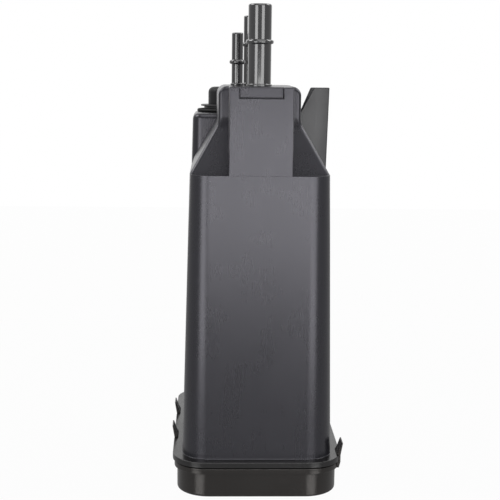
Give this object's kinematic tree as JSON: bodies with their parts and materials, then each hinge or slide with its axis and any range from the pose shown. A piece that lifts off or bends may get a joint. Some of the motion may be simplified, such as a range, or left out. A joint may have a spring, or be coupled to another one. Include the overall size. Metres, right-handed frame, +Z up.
{
  "type": "charcoal canister",
  "caption": "Tall rounded-box vapour canister with a clipped base cover, stepped dome, mounting block and beaded hose ports, filled with activated carbon.",
  "frame": {"origin": "on the ground under the middle of the base cover", "axes": "+Z up, -Y towards the front face with the mounting block, +X towards the side with the mounting ear"},
  "size_m": [0.116, 0.1772, 0.3246],
  "materials": {
    "body_plastic": "satin moulded charcoal-grey nylon",
    "cover_plastic": "satin moulded black nylon",
    "valve_plastic": "satin moulded dark grey plastic",
    "plate_plastic": "moulded grey plastic",
    "seal_rubber": "soft black rubber",
    "carbon": "packed black carbon grains",
    "filter_felt": "off-white felt",
    "spring_steel": "plain drawn wire"
  },
  "bodies": {
    "root": {"canister_body": "body_plastic", "base_cover": "cover_plastic", "cover_seal": "seal_rubber", "main_carbon_bed": "carbon", "rear_carbon_bed": "carbon", "main_top_filter": "filter_felt", "rear_top_filter": "filter_felt", "main_bottom_filter": "filter_felt", "rear_bottom_filter": "filter_felt", "main_pressure_plate": "plate_plastic", "rear_pressure_plate": "plate_plastic", "front_spring": "spring_steel", "middle_spring": "spring_steel", "rear_spring": "spring_steel", "vent_valve_seal": "seal_rubber", "vent_valve_body": "valve_plastic", "vent_valve_cap": "valve_plastic"}
  },
  "joints": []
}
